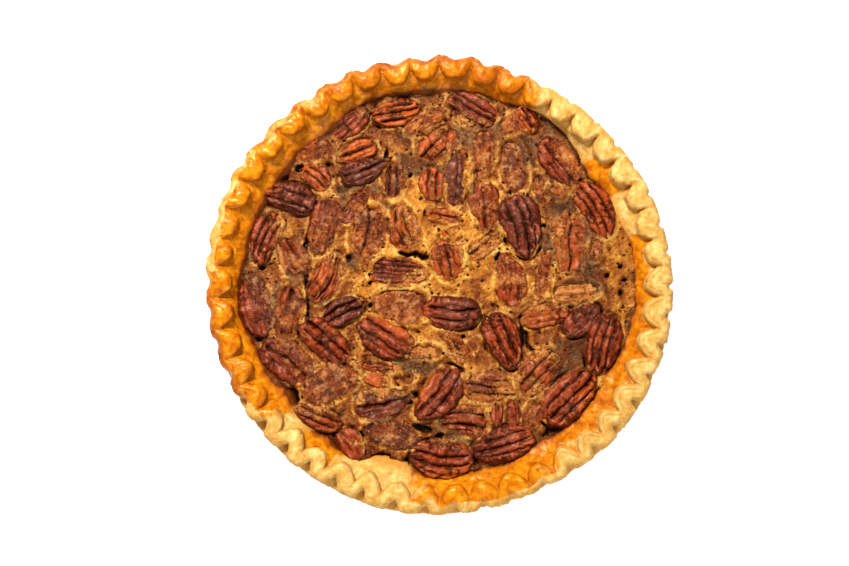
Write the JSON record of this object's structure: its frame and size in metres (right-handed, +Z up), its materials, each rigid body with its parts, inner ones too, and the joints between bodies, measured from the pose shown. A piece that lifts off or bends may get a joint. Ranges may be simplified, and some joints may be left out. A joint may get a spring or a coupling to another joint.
{
  "type": "pecan pie",
  "caption": "Round baked pie in a shallow metal tin: fluted pastry rim, flat custard filling and pecan halves set in its top.",
  "frame": {"origin": "middle of the tin's flat base, on the surface that the pie stands on", "axes": "+Z up out of the pie; +X and +Y in the plane of the base, +Y away from the side that is nearest in the usual view"},
  "size_m": [0.2578, 0.2538, 0.045],
  "materials": {
    "tin": "thin pressed sheet, satin, with faint forming marks and a rolled bead round its rim",
    "crust": "baked pastry: pale matte gold with browned creases; amber and glossy where syrup ran over the rim and wall",
    "filling": "baked custard foam: tan and gold with grey-brown patches, many small pits and dark shiny cracks",
    "pecan": "ridged nut skin, mauve-brown to red-brown, half gloss, with near-black grooves; many halves carry a film of tan foam"
  },
  "bodies": {
    "root": {"tin": "tin", "crust": "crust", "filling": "filling", "pecan_outer_01": "pecan", "pecan_outer_02": "pecan", "pecan_outer_03": "pecan", "pecan_outer_04": "pecan", "pecan_outer_05": "pecan", "pecan_outer_06": "pecan", "pecan_outer_07": "pecan", "pecan_outer_08": "pecan", "pecan_outer_09": "pecan", "pecan_outer_10": "pecan", "pecan_outer_11": "pecan", "pecan_outer_12": "pecan", "pecan_outer_13": "pecan", "pecan_outer_14": "pecan", "pecan_outer_15": "pecan", "pecan_outer_16": "pecan", "pecan_outer_17": "pecan", "pecan_outer_18": "pecan", "pecan_outer_19": "pecan", "pecan_outer_20": "pecan", "pecan_outer_21": "pecan", "pecan_outer_22": "pecan", "pecan_outer_23": "pecan", "pecan_middle_01": "pecan", "pecan_middle_02": "pecan", "pecan_middle_03": "pecan", "pecan_middle_04": "pecan", "pecan_middle_05": "pecan", "pecan_middle_06": "pecan", "pecan_middle_07": "pecan", "pecan_middle_08": "pecan", "pecan_middle_09": "pecan", "pecan_middle_10": "pecan", "pecan_middle_11": "pecan", "pecan_middle_12": "pecan", "pecan_middle_13": "pecan", "pecan_middle_14": "pecan", "pecan_middle_15": "pecan", "pecan_middle_16": "pecan", "pecan_middle_17": "pecan", "pecan_middle_18": "pecan", "pecan_middle_19": "pecan", "pecan_inner_01": "pecan", "pecan_inner_02": "pecan", "pecan_inner_03": "pecan", "pecan_inner_04": "pecan", "pecan_inner_05": "pecan", "pecan_inner_06": "pecan", "pecan_inner_07": "pecan", "pecan_inner_08": "pecan", "pecan_inner_09": "pecan", "pecan_inner_10": "pecan", "pecan_inner_11": "pecan", "pecan_inner_12": "pecan", "pecan_inner_13": "pecan", "pecan_inner_14": "pecan", "pecan_inner_15": "pecan"}
  },
  "joints": []
}
